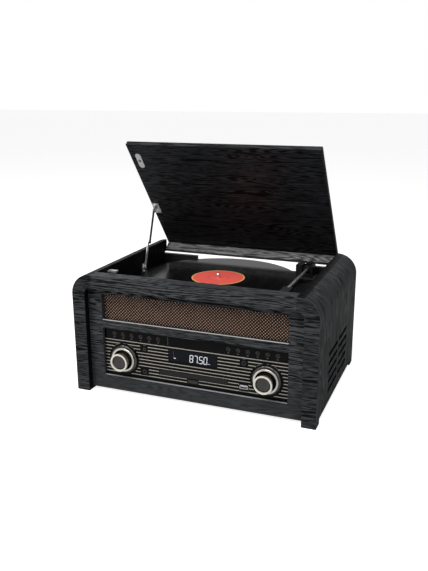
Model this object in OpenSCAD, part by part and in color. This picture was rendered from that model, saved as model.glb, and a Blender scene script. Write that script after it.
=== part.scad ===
// Tabletop stereo music centre: a black wooden cabinet with a record well under a
// hinged lid, a loudspeaker grille, and a radio and disc panel between two knobs.
// X runs to the right, Y to the back and Z up. The origin is on the floor, midway
// between the sides and midway between the knobs' front and the record's rear edge.

/* [Cabinet] */
// Width over the two side panels
cab_w = 440; // [420:1:480]
// Depth of the wooden cabinet, front face to rear face
cab_d = 308; // [300:1:340]
// Height of the cabinet without the lid
cab_h = 218; // [200:1:240]
// Thickness of the side panels and of the rail over the front
frame_t = 24.5; // [20:0.5:28]
// Radius of the rounded upper side edges
corner_r = 37; // [30:1:37]
// Radius inside the front frame's upper corners
inner_r = 10; // [4:1:14]
// Depth of the rail over the front
rail_d = 23; // [19:1:25]
// How far the fascia lies behind the front face
recess = 12; // [10:0.5:14]
// Thickness of the fascia board
fascia_t = 11; // [10:0.5:13]
// Height of the fascia's lower edge over the floor
fascia_lift = 5.5; // [3:0.5:8]
// Depth of each foot, front and rear
foot_d = 23; // [18:1:30]
// Height of the side panels' lower edge between the feet
side_lift = 9; // [6:0.5:12]
// Thickness of the rear wall and the bottom panel
board_t = 9; // [6:0.5:12]

/* [Record well] */
// Half the width of the record well
well_x = 182; // [176:1:182]
// Depth of the deck plate's upper face below the front rail
deck_drop = 23.5; // [21.5:0.5:25.5]
// Thickness of the deck plate
deck_t = 3; // [2:0.5:4]
// Gap between the rear wall's top and the level of the rail's underside
rear_gap = 4; // [0.5:0.5:5]
// Left end of the notch in the rear wall
notch_x0 = -109.5; // [-120:0.5:-108]
// Right end of the notch in the rear wall
notch_x1 = 118; // [90:1:122]
// Height of the notch's floor over the deck
notch_up = 5; // [3:0.5:8]

/* [Lid] */
// Opening angle of the lid as it stands on its stay
lid_open = 51.5; // [45:0.5:56]
// Thickness of the lid board
lid_t = 8.5; // [7:0.5:10]
// Height of the lid's underside over the front rail's underside when closed
lid_rise = 20; // [20:0.5:24]
// Gap between the lid and the cabinet
lid_gap = 1.5; // [1:0.1:2.5]
// Thickness of the rail under the lid's rear edge
lid_rail_t = 7; // [6:0.5:9]
// Height of that rail
lid_rail_h = 18.5; // [17:0.5:18.5]
// Height of the pivot pins over the rail's lower edge
pin_lift = 3.5; // [3:0.5:5]
// Radius of the pivot pins
pin_r = 1.5; // [1:0.1:1.8]
// Length of each pivot pin
pin_len = 16; // [12:1:20]

/* [Lid stay] */
// Distance of the stay's upper pivot from the lid rail
stay_reach = 112; // [108:1:114]
// Drop of the upper pivot below the lid's underside
stay_drop = 7; // [6:0.5:8]
// Distance of the stay's lower pivot behind the cabinet's middle
stay_y = 46; // [44:0.5:48]
// Height of the lower pivot over the deck
stay_z = 14; // [13:0.5:15]
// Length of the lower link between its pivots
lower_link = 50; // [49:0.5:52]
// Width of both links
link_w = 6; // [5:0.5:7]
// Thickness of both links
link_t = 1.5; // [1:0.1:1.6]

/* [Front openings] */
// Half the width of both openings in the fascia
open_x = 169; // [150:1:170]
// Height of the fascia between the two openings
bar_h = 14.5; // [10:0.5:18]
// Height of the fascia over the grille opening
top_h = 10.5; // [10:0.5:14]
// How far the grille cloth lies behind the fascia
cloth_in = 8; // [6:0.5:8.5]
// Thickness of the grille cloth
cloth_t = 1; // [0.6:0.1:1.5]
// Lower edge of the control opening
control_z0 = 31.5; // [28:0.5:32]
// Height of the control opening
control_h = 89; // [88:0.5:91]
// How far the control panel lies behind the fascia
panel_in = 6; // [4:0.5:7]
// Thickness of the control panel
panel_t = 2.5; // [2:0.25:3]

/* [Controls] */
// Distance of each knob from the middle
knob_x = 131.5; // [126:0.5:134]
// Height of the knobs
knob_z = 64.5; // [62:0.5:66]
// Radius of the knobs' skirt
skirt_r = 21.8; // [20:0.1:24]
// Radius of the knobs' grip
grip_r = 16.3; // [14:0.1:18]
// Depth of the hollow in the end of the grip
dish = 3; // [1.5:0.5:4]
// How far the base flange stands out round the skirt
flange_w = 3.5; // [2:0.5:4]
// Depth of the skirt
skirt_d = 6; // [5:0.5:8]
// Distance from the skirt's ring to the front ring
grip_d = 16; // [14:0.5:18]
// Radius of the knobs' shafts
shaft_r = 3; // [2.5:0.1:3.5]
// Number of keys on each side of the display
key_count = 6; // [6]
// Distance of the innermost keys from the middle
key_x = 64.5; // [60:0.5:66]
// Spacing of the keys
key_pitch = 17; // [15:0.5:17.5]
// Height of the keys
key_z = 109.5; // [108.5:0.25:110.5]
// Radius of the keys
key_r = 3.2; // [2.5:0.1:3.6]
// Travel of the keys and of the eject button
key_travel = 1; // [0.6:0.1:1.2]
// Half the width of the display window
window_x = 44; // [40:0.5:48]
// Lower edge of the display window
window_z0 = 74; // [72:0.5:76]
// Height of the display window
window_h = 21.5; // [18:0.5:22]
// Spacing of the raised lines
line_pitch = 6; // [5:0.25:8]
// Height of a raised line
line_h = 1.8; // [0.8:0.1:2.4]
// Number of raised lines
line_count = 11; // [8:1:11]

/* [Disc tray] */
// Half the width of the tray
tray_x = 62; // [61:0.5:63]
// Length of the tray behind the panel
tray_len = 165; // [160:1:175]
// Height of the tray's underside
tray_z = 46.3; // [46:0.1:47]
// Thickness of the tray
tray_t = 5.7; // [5:0.1:6.5]
// Radius of the tray's disc recess
disc_r = 60.2; // [60.2:0.1:60.4]

/* [Turntable] */
// Place of the spindle across the width
spin_x = -15; // [-16:0.5:-12]
// Distance of the spindle behind the cabinet's middle
spin_back = 24; // [23:0.5:26]
// Radius of the record
record_r = 150.8; // [125:0.1:151]
// Thickness of the record
record_t = 1.6; // [1.2:0.1:2]
// Radius of the record's label
label_r = 50; // [45:0.5:52]
// How far the label's area stands over the grooves
label_t = 0.15; // [0.1:0.05:0.3]
// Thickness of the slip mat
mat_t = 1.5; // [1:0.25:2]
// Radius of the spindle
spindle_r = 3.6; // [3.5:0.05:3.65]
// Height of the spindle over the record
spindle_up = 9; // [6:0.5:12]
// Radius of the platter
platter_r = 98; // [95:1:105]
// Height of the platter's upper face over the deck
platter_up = 10.9; // [10.5:0.1:11.5]
// Radius of the rim under the platter that the belt drives
drive_r = 63; // [55:1:66]
// Distance of the motor from the spindle
motor_dist = 80; // [80:1:84]
// Radius of the motor pulley
pulley_r = 7; // [5:0.5:8]
// Radius of the motor
motor_r = 16; // [12:1:18]

/* [Tonearm] */
// Place of the arm's pivot across the width
arm_x = 134; // [134:0.5:138]
// Distance of the arm's pivot behind the cabinet's middle
arm_back = 112; // [108:0.5:114]
// Height of the arm over the deck
arm_up = 22.5; // [22:0.5:24]
// Distance from the pivot to the stylus
arm_len = 160; // [155:1:165]
// Radius of the arm tube
tube_r = 2.6; // [2:0.1:3]
// Radius of the counterweight
weight_r = 10; // [8:0.5:11]
// Width of the spring housing at the turret's left
spring_w = 8; // [4:0.5:9]

/* [Sockets] */
// Distance of the front sockets from the middle
socket_x = 92; // [88:0.5:94]
// Height of the front sockets
socket_z = 46; // [45:0.5:48]
// Radius of a headphone jack's bore
jack_r = 1.8; // [1.75:0.05:1.9]
// Height of the rear sockets
rear_z = 50; // [44:1:60]
// Distance of the rear sockets and the inlet from the cabinet's sides
rear_in = 80; // [70:1:100]

/* [Hidden] */
$fn = 64;
fit = 0.2;             // gap between boards and mouldings that sit in each other
run = 0.05;            // radial running clearance of a shaft in its bore
air = 0.3;             // gap between pieces that move past each other
front_reach = cab_d / 2 - recess - panel_in + skirt_d + grip_d;
rear_reach = spin_back + record_r;
mid_y = (front_reach - rear_reach) / 2;    // the cabinet's middle along the depth
front_y = mid_y - cab_d / 2;
back_y = mid_y + cab_d / 2;
spin_y = mid_y + spin_back;
arm_y = mid_y + arm_back;
inner_x = cab_w / 2 - frame_t;      // inside face of a side panel
arch_z = cab_h - frame_t;           // underside of the front rail
rail_y = front_y + rail_d;          // front of the record well
fascia_y = front_y + recess;
fascia_back = fascia_y + fascia_t;
wall_y = back_y - board_t;          // inside face of the rear wall
rear_x = cab_w / 2 - rear_in;
floor_z = side_lift + board_t;      // upper face of the bottom panel
deck_z = arch_z - deck_drop;
deck_low = deck_z - deck_t;
notch_z = deck_z + notch_up;
rear_z1 = arch_z - rear_gap;
control_z1 = control_z0 + control_h;
grille_z = [control_z1 + bar_h, arch_z - top_h];
corner_in = 1.5;                    // radius in the corners of the openings
panel_y = fascia_y + panel_in;      // front of the control panel
panel_back = panel_y + panel_t;
cloth_y = fascia_y + cloth_in;
liner_z = deck_low - 17;            // lower edge of the well's wooden sides
vent_len = 69.5;                    // slots in the side panels, in two columns
vent_gap = 11.5;
vent_y = at(mid_y + 2.25, [-vent_gap / 2 - vent_len, vent_gap / 2]);
vent_h = 7.2;
vent_z = side_lift + 20.8;
vent_pitch = 16.1;
vent_rows = 5;
// lid, described closed
lid_x = well_x - lid_gap;
lid_z = arch_z + lid_rise;
lid_y0 = rail_y + 1;
hinge_y = back_y - lid_rail_t / 2;
hinge_z = lid_z - lid_rail_h + pin_lift;
stay_in_y = back_y - lid_rail_t - stay_reach;
stay_in_z = lid_z - stay_drop;
// stay: pivots on the wall and, with the lid open, on the lid
stay_g = [mid_y + stay_y, deck_z + stay_z];
stay_p = turned([stay_in_y, stay_in_z], -lid_open);
stay_v = stay_p - stay_g;
stay_len = norm(stay_v);
stay_ang = atan2(stay_v[1], stay_v[0]);
upper_link = stay_len - lower_link;
link_x0 = -well_x + 2.5;            // outer face of the lower link
link_x1 = link_x0 + link_t + 1.8;   // outer face of the upper link
rivet_r = link_w / 2 - 0.4;
// key and switch depths
key_out = 1.2;                      // a key stands this proud of the panel
board_y = panel_back + 12.5;        // front of the circuit board
circuit_t = 1.6;
switch_h = 2;
window_out = 0.2;
tray_gap = 0.6;
tray_mouth = [tray_x + 1.3, tray_z - tray_gap, tray_z + tray_t + 3.3];
eject_z = at(tray_z, [-8.7, -2.7]);
eject_x = 9.5;
upper_jack_z = socket_z + 43;
drive_x = tray_x + 8;
drive_y0 = board_y + circuit_t + 1;
drive_y1 = panel_y + tray_len + 8;
drive_z1 = tray_z + 14;
// turntable heights
platter_z = deck_z + platter_up;
mat_z = platter_z + mat_t;
record_z = mat_z + record_t;
platter_t = 4.5;
rim_z = deck_z + 2.5;
boss_z = deck_low - 16;
belt_z = rim_z + air;
belt_h = platter_z - platter_t - 2 * air - belt_z;
belt_t = 1.2;
motor_angle = 135;
motor_h = 26;
arm_z = deck_z + arm_up;
base_h = 8;                         // height of the tonearm's base
turret_w = 24;
cheek_t = 4;
turret_y = [-12, 13];
post_y = arm_y - arm_len + 29;      // the arm's rest
cue_y = arm_y - 46;                 // axle of the cue lever
cue_z = deck_z + 5;
select_x = arm_x + 26;              // the speed selector
select_y = post_y - 1;
panel_x = open_x - fit;
panel_z = [control_z0 + fit, control_z1 - fit];
line_z1 = key_z - 10.4;             // top of the uppermost raised line
knob_y1 = skirt_d + grip_d;
ring_w = 3.4;                       // width and thickness of the knobs' rings
ring_t = 1.6;
speaker_r = (deck_low - 1 - (grille_z[0] - 8)) / 2;
speaker_x = open_x - 49;
speaker_z = deck_low - 1 - speaker_r;
plate_y = stay_in_y - 126;          // catch and plate, along the closed lid
plate_l = 35;
plate_w = 11;
plate_x = -well_x + 17.5;
supply_x = inner_x - 74.5;          // middle of the supply
supply_y = wall_y - 63;

// A point [y, z] turned about the lid's hinge
function turned(p, a) = let (d = p - [hinge_y, hinge_z])
    [hinge_y + d[0] * cos(a) - d[1] * sin(a), hinge_z + d[0] * sin(a) + d[1] * cos(a)];

// Two planes, placed from c
function at(c, v) = [c + v[0], c + v[1]];

// A box between two planes on each axis
module block(x, y, z)
    translate([x[0], y[0], z[0]]) cube([x[1] - x[0], y[1] - y[0], z[1] - z[0]]);

// Round bars along each axis
module bar_x(x, y, z, r)
    translate([x[0], y, z]) rotate([0, 90, 0]) cylinder(h = x[1] - x[0], r = r);
module bar_y(x, y, z, r)
    translate([x, y[1], z]) rotate([90, 0, 0]) cylinder(h = y[1] - y[0], r = r);
module bar_z(x, y, z, r)
    translate([x, y, z[0]]) cylinder(h = z[1] - z[0], r = r);

// An outline drawn in X and Z, made as deep as the two Y planes
module deep(y)
    translate([0, y[1], 0]) rotate([90, 0, 0]) linear_extrude(y[1] - y[0]) children();

// A rectangle with four round corners
module round_rect(x, z, r) {
    translate([x[0] + r, z[0]]) square([x[1] - x[0] - 2 * r, z[1] - z[0]]);
    translate([x[0], z[0] + r]) square([x[1] - x[0], z[1] - z[0] - 2 * r]);
    for (cx = [x[0] + r, x[1] - r], cz = [z[0] + r, z[1] - r]) translate([cx, cz]) circle(r);
}

// A profile [radius, distance forward of the panel] turned about a knob's axis
module turned_knob(side)
    translate([side * knob_x, panel_y, knob_z]) rotate([90, 0, 0]) rotate_extrude() children();

// Pieces of the lid, drawn closed and shown open
module with_lid()
    translate([0, hinge_y, hinge_z]) rotate([-lid_open, 0, 0])
        translate([0, -hinge_y, -hinge_z]) children();

// ---- Wooden cabinet ----

// Right side of the front frame: a leg that bends over into the top
module side_profile() {
    difference() {
        translate([well_x, 0]) square([cab_w / 2 - well_x, cab_h]);
        difference() {
            translate([cab_w / 2 - corner_r, cab_h - corner_r]) square(corner_r + 1);
            translate([cab_w / 2 - corner_r, cab_h - corner_r]) circle(corner_r);
        }
        difference() {
            translate([well_x - 1, -1]) square([inner_x - well_x + 1, arch_z + 1]);
            difference() {
                translate([inner_x - inner_r, arch_z - inner_r]) square(inner_r + 1);
                translate([inner_x - inner_r, arch_z - inner_r]) circle(inner_r);
            }
        }
    }
}

module right_side() {
    difference() {
        union() {
            deep([front_y, back_y]) side_profile();
            block([well_x, inner_x + 1], [rail_y, wall_y - fit], [liner_z, arch_z + 1]);
        }
        block([inner_x - 1, cab_w / 2 + 1], [front_y + foot_d, back_y - foot_d],
            [-1, side_lift]);
        for (y = vent_y, i = [0:vent_rows - 1])
            block([inner_x - 1, cab_w / 2 + 1], [y, y + vent_len],
                at(vent_z + i * vent_pitch, [0, vent_h]));
        bar_x([well_x - 1, well_x + pin_len / 2 + 1], hinge_y, hinge_z, pin_r + run);
    }
}

module right_side_panel() color([0.16, 0.17, 0.18]) right_side();
module left_side_panel() color([0.16, 0.17, 0.18]) mirror([1, 0, 0]) right_side();

module top_front_rail() color([0.18, 0.19, 0.2])
    block([-well_x, well_x], [front_y, rail_y], [arch_z, cab_h]);

// A board between the side panels, with round upper corners
module arched(z0, z1) {
    x = inner_x - fit;
    translate([-x, z0]) square([2 * x, z1 - inner_r - z0]);
    round_rect([-x, x], [z0, z1], inner_r);
}

module front_fascia() color([0.18, 0.19, 0.2]) deep([fascia_y, fascia_back]) difference() {
    arched(fascia_lift, arch_z - fit);
    round_rect([-open_x, open_x], grille_z, corner_in);
    round_rect([-open_x, open_x], [control_z0, control_z1], corner_in);
}

module rear_wall() color([0.14, 0.14, 0.15]) difference() {
    deep([wall_y, back_y]) arched(side_lift, rear_z1);
    block([notch_x0, notch_x1], [wall_y - 1, back_y + 1], [notch_z, rear_z1 + 1]);
    bar_y(-rear_x, [wall_y - 1, back_y + 1], rear_z - 8, 6);
    bar_y(-rear_x, [wall_y - 1, back_y + 1], rear_z + 8, 6);
    block(at(rear_x, [-13, 13]), [wall_y - 1, back_y + 1], at(rear_z, [-9, 9]));
}

module bottom_panel() color([0.35, 0.28, 0.2])
    block([-inner_x + fit, inner_x - fit], [fascia_back + fit, wall_y - fit],
        [side_lift, floor_z]);

// ---- Record well ----

module deck_plate() color([0.05, 0.05, 0.055]) difference() {
    union() {
        block([-well_x + fit, well_x - fit], [fascia_back + fit, wall_y - fit],
            [deck_low, deck_z]);
        for (s = [-1, 1])
            block(at(s * (well_x - 5), [-4.8, 4.8]), [fascia_back + fit, wall_y - fit],
                [liner_z, deck_low + 1]);
        bar_z(spin_x, spin_y, [boss_z, deck_z + 1.5], 8);
    }
    bar_z(spin_x, spin_y, [boss_z + 2, deck_z + 2], spindle_r + run);
    translate([spin_x, spin_y, 0]) rotate(motor_angle)
        bar_z(motor_dist, 0, [deck_low - 1, deck_z + 1], 3.5);
    bar_z(arm_x, arm_y, [deck_low - 1, deck_z + 1], 9);
    bar_z(select_x, select_y, [deck_low - 1, deck_z + 1], 2.5 + run);
}

// ---- Loudspeakers ----

module cloth_outline()
    round_rect([-panel_x, panel_x], [grille_z[0] + fit, grille_z[1] - fit], corner_in);

module grille_cloth() color([0.35, 0.24, 0.2])
    deep([cloth_y, cloth_y + cloth_t]) cloth_outline();

module speaker_baffle() color([0.1, 0.09, 0.08])
    deep([cloth_y + cloth_t, fascia_back]) difference() {
        cloth_outline();
        for (s = [-1, 1])
            round_rect(at(s * speaker_x, [-0.77, 0.77] * speaker_r),
                [grille_z[0] + 2, deck_low - 2], corner_in);
    }

module speaker(x) translate([x, fascia_back, speaker_z]) rotate([-90, 0, 0]) {
    // frame, basket and magnet
    r = speaker_r;
    rotate_extrude() polygon([[0.87, 0], [1, 0], [1, 0.1], [0.95, 0.1], [0.67, 0.62],
        [0.67, 1.08], [0.2, 1.08], [0.2, 0.56], [0.59, 0.54], [0.87, 0.08]] * r);
    // diaphragm with its dust cap
    rotate_extrude() polygon([[0, 0.26], [0.2, 0.28], [0.26, 0.38], [0.88, 0.045],
        [0.88, 0.072], [0.28, 0.44], [0.23, 0.46], [0, 0.46]] * r);
}

module speakers() color([0.3, 0.3, 0.32]) for (s = [-1, 1]) speaker(s * speaker_x);

// ---- Control panel ----

// Everything that goes through the panel, as an outline
module panel_holes() {
    for (s = [-1, 1]) {
        translate([s * knob_x, knob_z]) circle(shaft_r + 1);
        for (i = [0:key_count - 1])
            translate([s * (key_x + i * key_pitch), key_z]) circle(key_r + air);
    }
    translate([-window_x, window_z0]) square([2 * window_x, window_h]);
    translate([-tray_mouth[0], tray_mouth[1]])
        square([2 * tray_mouth[0], tray_mouth[2] - tray_mouth[1]]);
    translate([-eject_x - air, eject_z[0] - air])
        square([2 * eject_x + 2 * air, eject_z[1] - eject_z[0] + 2 * air]);
    translate([-socket_x, socket_z]) circle(4.4);
    translate([socket_x, upper_jack_z]) circle(4.4);
    translate([socket_x - 7.4, socket_z - 3.9]) square([14.8, 7.8]);
}

// Plain areas that the raised lines leave free
module line_stops() {
    for (s = [-1, 1]) {
        translate([s * knob_x, knob_z]) circle(skirt_r + flange_w + 4);
        translate([s * socket_x - 8.5, socket_z - 7.5]) square([17, 15]);
        translate([s * socket_x - 7.5, upper_jack_z - 7.5]) square([15, 15]);
    }
    translate([-window_x - 1.5, window_z0 - 1]) square([2 * window_x + 3, window_h + 2]);
    translate([-tray_mouth[0] - 1, tray_mouth[1] - 1])
        square([2 * tray_mouth[0] + 2, tray_mouth[2] - tray_mouth[1] + 2]);
    translate([-eject_x - 1.5, eject_z[0] - 1.5])
        square([2 * eject_x + 3, eject_z[1] - eject_z[0] + 3]);
}

module control_panel() color([0.06, 0.06, 0.06]) {
    difference() {
        union() {
            deep([panel_y, fascia_back]) round_rect([-panel_x, panel_x], panel_z, corner_in);
            deep([fascia_back, fascia_back + panel_t])
                round_rect([-panel_x - 5, panel_x + 5], panel_z + [-5, 5], 2);
        }
        deep([panel_back, fascia_back + panel_t + 1])
            round_rect([-panel_x + 2.5, panel_x - 2.5], panel_z + [2.5, -2.5], 1);
        deep([panel_y - 1, panel_back + 1]) panel_holes();
    }
    // raised lines
    deep([panel_y - 0.4, panel_y]) difference() {
        for (i = [0:line_count - 1])
            translate([-panel_x + 0.5, line_z1 - line_h - i * line_pitch])
                square([2 * panel_x - 1, line_h]);
        line_stops();
    }
    // posts that carry the circuit board
    for (s = [-1, 1], z = [panel_z[0] + 5, panel_z[1] - 6])
        bar_y(s * (panel_x - 10), [panel_back, board_y], z, 2.6);
}

module display_window() color([0.1, 0.11, 0.14, 0.6])
    block([-window_x + fit, window_x - fit], at(panel_y, [-window_out, 1.8]),
        at(window_z0, [fit, window_h - fit]));

module display_module() color([0.2, 0.24, 0.3])
    block([-window_x - 3, window_x + 3], [panel_back, board_y],
        at(window_z0, [-2.5, window_h + 2.5]));

module main_board() color([0.1, 0.35, 0.2]) difference() {
    union() {
        block([-panel_x + 6, panel_x - 6], at(board_y, [0, circuit_t]),
            panel_z + [1, -1]);
        for (s = [-1, 1]) {
            block(at(s * knob_x, [-7, 7]), at(board_y, [-7, 0]), at(knob_z, [-7, 7]));
            for (i = [0:key_count - 1])
                block(at(s * (key_x + i * key_pitch), [-3, 3]), at(board_y, [-switch_h, 0]),
                    at(key_z, [-3, 3]));
        }
        block([-5, 5], at(board_y, [-switch_h, 0]), [eject_z[0] - 1.6, eject_z[1] - 1.6]);
    }
    for (s = [-1, 1])
        bar_y(s * knob_x, at(board_y, [-8, circuit_t + 1]), knob_z, shaft_r + run);
    block([-tray_x - 2, tray_x + 2], at(board_y, [-1, circuit_t + 1]),
        [tray_mouth[1] - 0.8, tray_mouth[2] + 1]);
}

// A round key with a flange behind the panel and a stem that works its switch
module key(side, i) color([0.12, 0.12, 0.13]) {
    x = side * (key_x + (i - 1) * key_pitch);
    bar_y(x, at(panel_y, [-key_out, panel_t + air + 1]), key_z, key_r);
    bar_y(x, at(panel_back, [air, air + 1]), key_z, key_r + 1);
    bar_y(x, [panel_back + air, board_y - switch_h - key_travel - 0.1], key_z, 1.5);
}

module left_key_1() key(-1, 1);
module left_key_2() key(-1, 2);
module left_key_3() key(-1, 3);
module left_key_4() key(-1, 4);
module left_key_5() key(-1, 5);
module left_key_6() key(-1, 6);
module right_key_1() key(1, 1);
module right_key_2() key(1, 2);
module right_key_3() key(1, 3);
module right_key_4() key(1, 4);
module right_key_5() key(1, 5);
module right_key_6() key(1, 6);

module eject_button() color([0.15, 0.15, 0.16]) {
    block([-eject_x, eject_x], at(panel_y, [-0.8, panel_t + air + 1]), eject_z);
    block([-eject_x - 1.5, eject_x + 1.5], at(panel_back, [air, air + 1]), eject_z);
    bar_y(0, [panel_back + air, board_y - switch_h - key_travel - 0.1], eject_z[0] + 1.6, 1.4);
}

// Knob: base flange, skirt, hollow cone, grip with a dished end, and the shaft behind
module knob(side) color([0.1, 0.09, 0.08]) {
    turned_knob(side) polygon([[0, 0.8], [skirt_r + flange_w, 0.8],
        [skirt_r + flange_w, 2.2], [skirt_r + flange_w - 0.8, 3], [skirt_r - 0.2, 3.6],
        [skirt_r - 0.2, skirt_d - 0.2],
        [skirt_r - ring_w, skirt_d - 0.2], [grip_r + 0.2, skirt_d - 4],
        [grip_r - 1.4, skirt_d + 2],
        [grip_r - 0.4, knob_y1 - ring_t], [grip_r - ring_w - 0.5, knob_y1 - ring_t],
        [grip_r * 0.7, knob_y1 - ring_t - dish * 0.6], [grip_r * 0.4, knob_y1 - ring_t - dish * 0.92],
        [0, knob_y1 - ring_t - dish]]);
    bar_y(side * knob_x, [panel_y - 0.9, board_y - 0.5], knob_z, shaft_r);
}
module knob_rings(side) color([0.85, 0.83, 0.78]) turned_knob(side) {
    // ring at the edge of the skirt, then the ring round the grip's end
    polygon([[skirt_r - ring_w, skirt_d - 0.2], [skirt_r - 0.2, skirt_d - 0.2],
        [skirt_r, skirt_d + 0.4], [skirt_r - 0.5, skirt_d + 1.1],
        [skirt_r - ring_w + 0.3, skirt_d + 0.9]]);
    polygon([[grip_r - ring_w, knob_y1 - ring_t], [grip_r - 0.3, knob_y1 - ring_t],
        [grip_r, knob_y1 - 0.9], [grip_r - 0.4, knob_y1], [grip_r - ring_w + 0.4, knob_y1]]);
}
module left_knob() knob(-1);
module left_knob_rings() knob_rings(-1);
module right_knob() knob(1);
module right_knob_rings() knob_rings(1);

module usb_socket() color([0.75, 0.76, 0.78]) difference() {
    block(at(socket_x, [-7, 7]), [panel_y - 0.2, board_y], at(socket_z, [-3.5, 3.5]));
    difference() {
        block(at(socket_x, [-6.2, 6.2]), at(panel_y, [-1, 11]), at(socket_z, [-2.6, 2.6]));
        block(at(socket_x, [-5.6, 5.6]), at(panel_y, [1, 12]), at(socket_z, [0.2, 2]));
    }
}

module phone_jack(x, z) difference() {
    union() {
        bar_y(x, at(panel_y, [-0.8, 6]), z, 4.2);
        block(at(x, [-6, 6]), [panel_back, board_y], at(z, [-6, 6]));
    }
    bar_y(x, at(panel_y, [-1, 14]), z, jack_r);
}
module phone_jacks() color([0.12, 0.12, 0.12]) {
    phone_jack(-socket_x, socket_z);
    phone_jack(socket_x, upper_jack_z);
}

// ---- Disc drive ----

module cd_tray() color([0.13, 0.13, 0.14]) {
    cy = panel_back + tray_x;
    difference() {
        block([-tray_x, tray_x], [panel_back, panel_y + tray_len], at(tray_z, [0, tray_t]));
        bar_z(0, cy, at(tray_z, [2.5, tray_t + 1]), disc_r);
        bar_z(0, cy, at(tray_z, [-1, 3]), 16);
        block([-16, 16], [cy, cy + disc_r - 6], at(tray_z, [-1, 3]));
    }
    block([-tray_x - 1, tray_x + 1], at(panel_y, [-0.2, panel_t]), at(tray_z, [-0.3, tray_t + 3]));
}

module cd_drive() color([0.5, 0.52, 0.54]) difference() {
    block([-drive_x, drive_x], [drive_y0, drive_y1], [floor_z, drive_z1]);
    block([-tray_x - air, tray_x + air], [drive_y0 - 1, drive_y1 - 2],
        at(tray_z, [-air, tray_t + air]));
    block([-tray_x + 6, tray_x - 6], [drive_y0 - 1, drive_y1 - 2],
        [floor_z + 3, drive_z1 - 1.5]);
}

// ---- Turntable ----

module platter() color([0.25, 0.25, 0.26]) translate([spin_x, spin_y, 0]) difference() {
    union() {
        bar_z(0, 0, at(platter_z, [-platter_t, 0]), platter_r);
        difference() {
            bar_z(0, 0, [rim_z, platter_z - 1], drive_r);
            bar_z(0, 0, [rim_z - 1, platter_z - platter_t], drive_r - 3);
        }
        difference() {
            bar_z(0, 0, [rim_z + 1, platter_z - 1], platter_r);
            bar_z(0, 0, [rim_z, platter_z - platter_t], platter_r - 2.5);
        }
        bar_z(0, 0, [deck_z + 2, platter_z - 1], 9);
    }
    bar_z(0, 0, [deck_z, platter_z + 1], spindle_r + run);
}

module spindle() color([0.8, 0.8, 0.82]) translate([spin_x, spin_y, 0]) {
    bar_z(0, 0, [boss_z + 2 + air, record_z + spindle_up - spindle_r], spindle_r);
    intersection() {
        translate([0, 0, record_z + spindle_up - spindle_r]) sphere(spindle_r);
        bar_z(0, 0, at(record_z + spindle_up, [-spindle_r, 0]), spindle_r + 1);
    }
}

module slip_mat() color([0.2, 0.2, 0.2]) translate([spin_x, spin_y, 0]) difference() {
    bar_z(0, 0, [platter_z, mat_z], platter_r - 1);
    bar_z(0, 0, [platter_z - 1, mat_z + 1], spindle_r + 0.1);
}

module record() color([0.03, 0.03, 0.035]) translate([spin_x, spin_y, 0]) difference() {
    union() {
        bar_z(0, 0, [mat_z, record_z], record_r);
        bar_z(0, 0, at(record_z, [-0.5, label_t]), label_r);
    }
    bar_z(0, 0, [mat_z - 1, record_z + 1], spindle_r + 0.1);
}

module at_motor() translate([spin_x, spin_y, 0]) rotate(motor_angle)
    translate([motor_dist, 0, 0]) children();

module platter_motor() color([0.7, 0.7, 0.72]) at_motor() difference() {
    bar_z(0, 0, [deck_low - motor_h, deck_low], motor_r);
    bar_z(0, 0, [deck_low - 10, deck_low + 1], 1.5 + run);
}

module motor_pulley() color([0.78, 0.65, 0.35]) at_motor() {
    bar_z(0, 0, [deck_low - 9, deck_z + 2], 1.5);
    bar_z(0, 0, at(deck_z, [1.2, 2.2]), pulley_r + 1);
    bar_z(0, 0, [deck_z + 2.2, belt_z + belt_h + air], pulley_r);
}

// Outline round the rim and the pulley, further out by the given amount
module belt_outline(grow) {
    big = drive_r + air + grow;
    small = pulley_r + air + grow;
    a = acos((big - small) / motor_dist);
    circle(big);
    translate([motor_dist, 0]) circle(small);
    polygon([big * [cos(a), sin(a)], [motor_dist + small * cos(a), small * sin(a)],
        [motor_dist + small * cos(a), -small * sin(a)], big * [cos(a), -sin(a)]]);
}

module drive_belt() color([0.08, 0.08, 0.08])
    translate([spin_x, spin_y, belt_z]) rotate(motor_angle)
        linear_extrude(belt_h) difference() {
            belt_outline(belt_t);
            belt_outline(0);
        }

// ---- Tonearm, drawn lying in its rest ----

module tonearm_base() color([0.08, 0.08, 0.085]) {
    difference() {
        union() {
            deck_pad([arm_x - 15, arm_x + 19], [arm_y - 22, arm_y + 20]);
            bar_z(arm_x, arm_y, [deck_low - 8, deck_z + base_h], 8.6);
        }
        bar_z(arm_x, arm_y, [deck_low - 6, deck_z + base_h + 1], 5 + run);
    }
    // ears that hold the cue lever
    difference() {
        for (x = [16, 27])
            block(at(arm_x + x, [0, 3]), at(cue_y, [-4.5, 4.5]), at(deck_z, [0, 9]));
        bar_x(at(arm_x, [15, 31]), cue_y, cue_z, 2 + run);
    }
    // rest post: a saddle with one cheek on the outer side
    bar_z(arm_x, post_y, [deck_z, arm_z - tube_r - air - 1], 2.6);
    difference() {
        block(at(arm_x, [-3.4, 5]), at(post_y, [-2.6, 2.6]), at(arm_z - tube_r, [-3, 4]));
        block(at(arm_x, [-4, tube_r + air]), at(post_y, [-4, 4]), at(arm_z - tube_r, [-air, 6]));
    }
}
module deck_pad(x, y) translate([0, 0, deck_z]) linear_extrude(base_h)
    round_rect(x, y, 4);

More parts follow.
